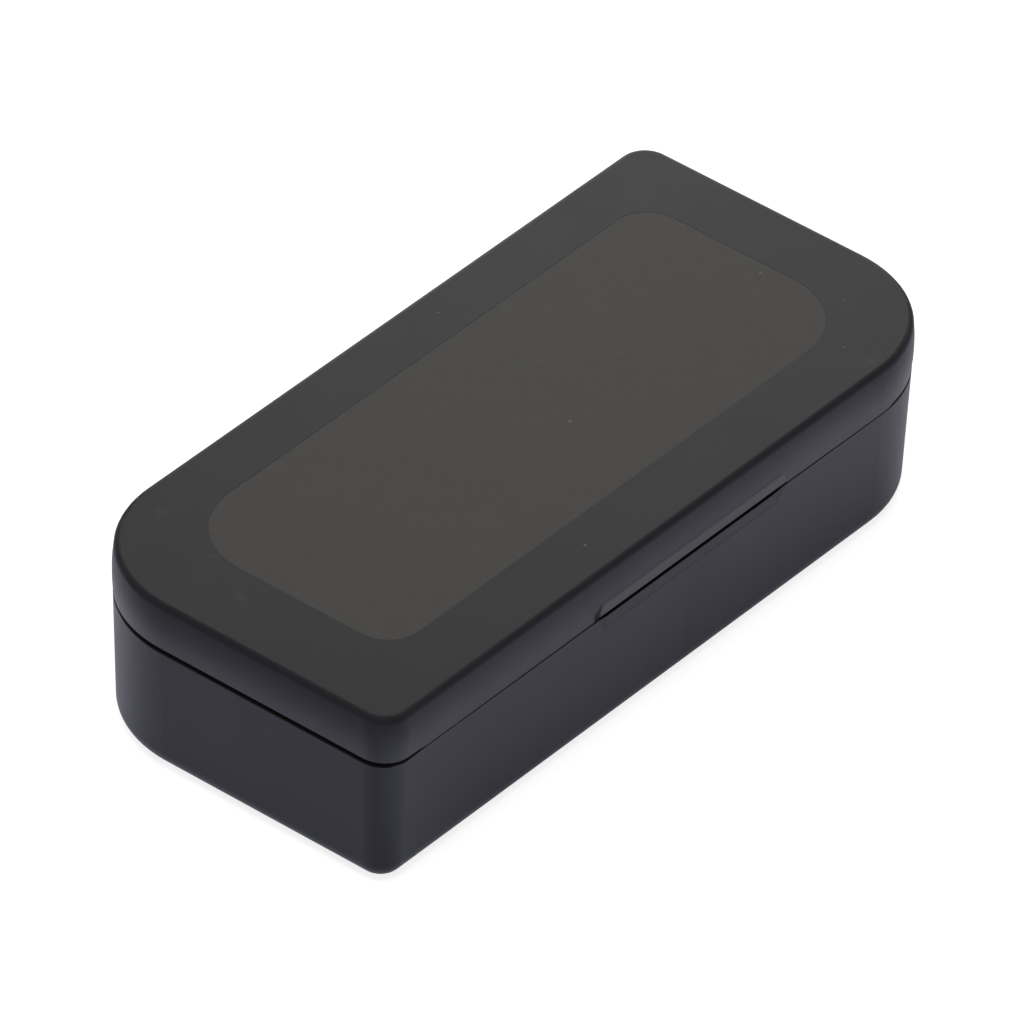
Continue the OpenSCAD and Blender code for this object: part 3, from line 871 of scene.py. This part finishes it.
def sheet_outline(shape, look, low, high):
    """The face of a foam sheet, with its unequal corners and the room round the magnets' bosses."""
    edge = 1.5 * look.edge_round
    notches = []
    for side in (-1, 1):
        left = side * look.boss_x - look.boss_room
        right = side * look.boss_x + look.boss_room
        notches += [(x, y, edge) for x, y in (
            (left, low.y), (left, look.boss_back), (right, look.boss_back), (right, low.y))]
    corners = [
        (low.x, low.y, look.small_corner), *notches, (high.x, low.y, look.big_corner),
        (high.x, high.y, look.small_corner), (low.x, high.y, look.big_corner)]
    rounded_face(shape, corners, low.z, look.corner_steps)


def cut_pocket(shape, look, z):
    """Cuts the drive's pocket and its two finger notches out of the sheet's face."""
    half_l, half_w = look.pocket_length / 2, look.pocket_width / 2
    middle = look.pocket_y
    die = bmesh.new()
    r = look.pocket_corner
    rounded_face(die, [
        (-half_l, middle - half_w, r), (half_l, middle - half_w, r),
        (half_l, middle + half_w, r), (-half_l, middle + half_w, r)], z, look.corner_steps)
    for side in (-1, 1):
        offset = half_w + look.notch_reach - look.notch_radius
        centre = Vector((0, middle + side * offset, z))
        disc = bmesh.ops.create_circle(
            die, cap_ends=True, segments=6 * look.corner_steps, radius=look.notch_radius,
            matrix=Matrix.Translation(centre))["verts"]
        edges = list({edge for vert in disc for edge in vert.link_edges})
        faces = list({face for vert in disc for face in vert.link_faces})
        bmesh.ops.bisect_plane(
            die, geom=disc + edges + faces, plane_co=(0, middle + side * half_w, 0),
            plane_no=(0, side, 0), clear_inner=True)
        reach = math.sqrt(look.notch_radius ** 2 - (half_w - offset) ** 2)
        for x in (-reach, reach):
            bmesh.ops.bisect_plane(
                die, geom=everything(die), plane_co=(x, 0, 0), plane_no=(1, 0, 0))
    bmesh.ops.remove_doubles(die, verts=die.verts, dist=2 * TOUCH)
    bmesh.ops.dissolve_faces(die, faces=die.faces[:], use_verts=False)
    spare = bpy.data.meshes.new("pocket_die")
    die.to_mesh(spare)
    die.free()
    shape.from_mesh(spare)
    bpy.data.meshes.remove(spare)


def on_rim(edge, heights):
    """Whether an edge is sharp and lies level at one of the heights."""
    level = any(all(abs(vert.co.z - z) < TOUCH for vert in edge.verts) for z in heights)
    return level and len(edge.link_faces) == 2 and edge.calc_face_angle() > ROUNDED


def raise_sheet(shape, look, height, rounded_low, rounded_high):
    """Gives the sheet its thickness, waisted sides and rounded edges."""
    raised = bmesh.ops.extrude_face_region(shape, geom=shape.faces[:], use_keep_orig=True)
    lifted = [v for v in raised["geom"] if isinstance(v, bmesh.types.BMVert)]
    bmesh.ops.translate(shape, verts=lifted, vec=(0, 0, height))
    bmesh.ops.recalc_face_normals(shape, faces=shape.faces[:])
    low = min(v.co.z for v in shape.verts)
    rims = [z for z, rounded in ((low, rounded_low), (low + height, rounded_high)) if rounded]
    edges = [edge for edge in shape.edges if on_rim(edge, rims)]
    bmesh.ops.bevel(
        shape, geom=edges, offset=look.edge_round, offset_type="OFFSET", affect="EDGES",
        segments=4, profile=0.5, material=-1, clamp_overlap=True, loop_slide=True)
    many_sided = [f for f in shape.faces if len(f.verts) > 4]
    bmesh.ops.triangulate(shape, faces=many_sided, quad_method="BEAUTY", ngon_method="BEAUTY")
    bottom = low + (look.edge_round if rounded_low else 0)
    top = low + height - (look.edge_round if rounded_high else 0)
    for step in range(1, look.side_steps):
        z = bottom + (top - bottom) * step / look.side_steps
        bmesh.ops.bisect_plane(
            shape, geom=everything(shape), plane_co=(0, 0, z), plane_no=(0, 0, 1))
    shape.normal_update()
    drawn_in = []
    for vert in shape.verts:
        share = (vert.co.z - bottom) / (top - bottom)
        if 0.01 < share < 0.99:
            inward = Vector((-vert.normal.x, -vert.normal.y, 0)).normalized()
            drawn_in.append((vert, look.waist * math.sin(math.pi * share) * inward))
    for vert, move in drawn_in:
        vert.co += move


def foam_sheet(look, node, material, pocket, rounded_low, rounded_high):
    low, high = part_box(node)
    shape = bmesh.new()
    sheet_outline(shape, look, low, high)
    if pocket:
        cut_pocket(shape, look, low.z)
    bmesh.ops.delete(shape, geom=shape.faces[:], context="FACES_ONLY")
    bmesh.ops.triangle_fill(shape, edges=shape.edges[:], use_beauty=True, use_dissolve=True)
    raise_sheet(shape, look, high.z - low.z, rounded_low, rounded_high)
    mesh = bpy.data.meshes.new(node + "_cut")
    shape.to_mesh(mesh)
    shape.free()
    for face in mesh.polygons:
        face.use_smooth = True
    mesh.set_sharp_from_angle(angle=CREASED)
    mesh.materials.append(material)
    piece = bpy.data.objects.new(node + "_cut", mesh)
    bpy.context.scene.collection.objects.link(piece)
    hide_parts(node)
    return piece


class CASE_OT_cut_foam(Operator):
    """Cuts the two foam sheets of the base and the lid's pad"""
    bl_idname = "case.cut_foam"
    bl_label = "Cut the foam"

    def execute(self, context):
        look = context.scene.case_foam
        material = foam_cells(look)
        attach(foam_sheet(look, "foam_floor", material, False, False, False), "base")
        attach(foam_sheet(look, "foam_insert", material, True, False, True), "base")
        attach(foam_sheet(look, "lid_pad", material, False, True, False), "lid")
        return {"FINISHED"}


# Stage

# The camera's sensor, in millimetres, and the nearest and furthest that it sees
SENSOR = 36
NEAREST = 0.05
FURTHEST = 20

# From the floor's middle to its sides
FLOOR_REACH = 1.5

# Where the paper's brightness in glossy faces changes: to the front, the left and the right
FRONT_BAND = (-32 * MM, -21 * MM)
LEFT_BAND = (-46 * MM, -24 * MM)
RIGHT_BAND = (0, 62 * MM)

# The lamps' places and sizes, and the direction of the middle of the room's lit part
SOFTBOX = (0.155, 0.125, 0.09)
SOFTBOX_SIZE = 0.16
OVERHEAD = (-0.05, 0.05, 0.9)
OVERHEAD_SIZE = 0.7
CANOPY = (0.39, 0.31, 0.866)


class CASE_OT_set_stage(Operator):
    """Sets the floor, the lamps, the surroundings and the camera"""
    bl_idname = "case.set_stage"
    bl_label = "Set the stage"

    def execute(self, context):
        look = context.scene.case_studio
        set_camera(context, look)
        set_floor(context, look)
        set_lamps(context, look)
        set_world(context, look)
        context.scene.view_settings.view_transform = "Standard"
        return {"FINISHED"}


def set_camera(context, look):
    centre = Vector((0, 0, look.aim_height))
    a, e = look.azimuth, look.elevation
    back = Vector((math.sin(a) * math.cos(e), -math.cos(a) * math.cos(e), math.sin(e)))
    level = Vector((math.cos(a), math.sin(a), 0))
    upright = back.cross(level)
    right = math.cos(look.roll) * level + math.sin(look.roll) * upright
    up = math.cos(look.roll) * upright - math.sin(look.roll) * level
    data = bpy.data.cameras.new("camera")
    data.lens = look.lens
    data.sensor_width = SENSOR
    data.clip_start = NEAREST
    data.clip_end = FURTHEST
    camera = bpy.data.objects.new("camera", data)
    context.scene.collection.objects.link(camera)
    place = Matrix((right, up, back)).transposed().to_4x4()
    place.translation = centre + look.distance * back - look.aside * right - look.raised * up
    camera.matrix_world = place
    context.scene.camera = camera


def set_floor(context, look):
    """Matt paper that shows white to the camera, where nothing shades it."""
    mesh = bpy.data.meshes.new("floor")
    shape = bmesh.new()
    bmesh.ops.create_grid(shape, x_segments=1, y_segments=1, size=FLOOR_REACH)
    shape.to_mesh(mesh)
    shape.free()
    floor = bpy.data.objects.new("floor", mesh)
    context.scene.collection.objects.link(floor)
    material = bpy.data.materials.new("floor_paper")
    material.use_nodes = True
    tree = material.node_tree
    tree.nodes.clear()
    output = tree.nodes.new("ShaderNodeOutputMaterial")
    paths = tree.nodes.new("ShaderNodeLightPath").outputs
    # In glossy faces the paper glows as a painted reflection, tinted blue: it fades with its distance,
    # dims along the front as a painted contact shadow and gains at both ends as painted light
    place = object_place(tree)
    axes = axes_of(tree, place)
    away = add(tree, "ShaderNodeVectorMath", {0: place}, operation="LENGTH").outputs["Value"]
    lit = product(
        tree, look.floor_mirror,
        ramp(tree, away, look.sheet_size, 2.2 * look.sheet_size, 1.0, 0.3, True),
        ramp(tree, axes[1], *FRONT_BAND, 1.1, look.contact_dim, True),
        ramp(tree, axes[0], *LEFT_BAND, look.end_gain, 1.0, True),
        ramp(tree, axes[0], *RIGHT_BAND, 1.0, look.right_gain, True))
    glossy = maths(tree, "MAXIMUM", paths["Is Glossy Ray"], paths["Is Transmission Ray"])
    shown = maths(tree, "MULTIPLY", paths["Is Camera Ray"], look.floor_glow)
    seen = mix_value(tree, glossy, shown, lit)
    tint = mix_colour(tree, glossy, (1, 1, 1, 1), tuple(look.bounce_colour))
    glow = add(tree, "ShaderNodeEmission", {"Color": tint, "Strength": seen})
    grey = look.floor_albedo
    paper = add(tree, "ShaderNodeBsdfDiffuse", {"Color": (grey, grey, grey, 1)})
    both = add(tree, "ShaderNodeAddShader", {0: paper.outputs[0], 1: glow.outputs[0]})
    tree.links.new(both.outputs[0], output.inputs["Surface"])
    mesh.materials.append(material)


def area_lamp(context, name, place, size, power):
    """A square lamp that faces the middle of the case's underside."""
    data = bpy.data.lights.new(name, "AREA")
    data.shape = "SQUARE"
    data.size = size
    data.energy = power
    lamp = bpy.data.objects.new(name, data)
    lamp.location = place
    lamp.rotation_euler = (-Vector(place)).to_track_quat("-Z", "Y").to_euler()
    context.scene.collection.objects.link(lamp)
    return lamp


def set_lamps(context, look):
    softbox = area_lamp(context, "softbox", SOFTBOX, SOFTBOX_SIZE, look.softbox_power)
    softbox.visible_camera = False
    overhead = area_lamp(context, "overhead", OVERHEAD, OVERHEAD_SIZE, look.overhead_power)
    overhead.visible_glossy = False


def set_world(context, look):
    """A room whose far upper side is lit, and white behind the case."""
    world = bpy.data.worlds.new("studio")
    context.scene.world = world
    world.use_nodes = True
    tree = world.node_tree
    tree.nodes.clear()
    output = tree.nodes.new("ShaderNodeOutputWorld")
    paths = tree.nodes.new("ShaderNodeLightPath").outputs
    direction = add(tree, "ShaderNodeTexCoord").outputs["Generated"]
    canopy = add(tree, "ShaderNodeVectorMath", {0: direction, 1: CANOPY}, operation="DOT_PRODUCT")
    lit = ramp(
        tree, canopy.outputs["Value"], math.cos(look.canopy_outer), math.cos(look.canopy_inner),
        look.room_level, look.canopy_level, True)
    strength = mix_value(tree, paths["Is Camera Ray"], lit, 1.0)
    room = add(tree, "ShaderNodeBackground", {"Color": (1, 1, 1, 1), "Strength": strength})
    tree.links.new(room.outputs[0], output.inputs["Surface"])


class CASE_PT_panel(Panel):
    bl_label = "Hard Case"
    bl_idname = "CASE_PT_panel"
    bl_space_type = "VIEW_3D"
    bl_region_type = "UI"
    bl_category = "Hard Case"

    def draw(self, context):
        for operator in OPERATORS:
            self.layout.operator(operator.bl_idname)


OPERATORS = (CASE_OT_settle_shells, CASE_OT_finish_metal, CASE_OT_cut_foam, CASE_OT_set_stage)
GROUPS = {
    "case_finish": CaseFinish, "case_form": ShellForm, "case_metal": MetalFinish, "case_foam": FoamCut,
    "case_studio": StudioLook,
}


def register():
    for cls in (*GROUPS.values(), *OPERATORS, CASE_PT_panel):
        bpy.utils.register_class(cls)
    for name, group in GROUPS.items():
        setattr(bpy.types.Scene, name, PointerProperty(type=group))


def unregister():
    for name in GROUPS:
        delattr(bpy.types.Scene, name)
    for cls in reversed((*GROUPS.values(), *OPERATORS, CASE_PT_panel)):
        bpy.utils.unregister_class(cls)


def main():
    register()
    bpy.ops.case.settle_shells()
    bpy.ops.case.finish_metal()
    bpy.ops.case.cut_foam()
    bpy.ops.case.set_stage()


if __name__ == "__main__":
    main()
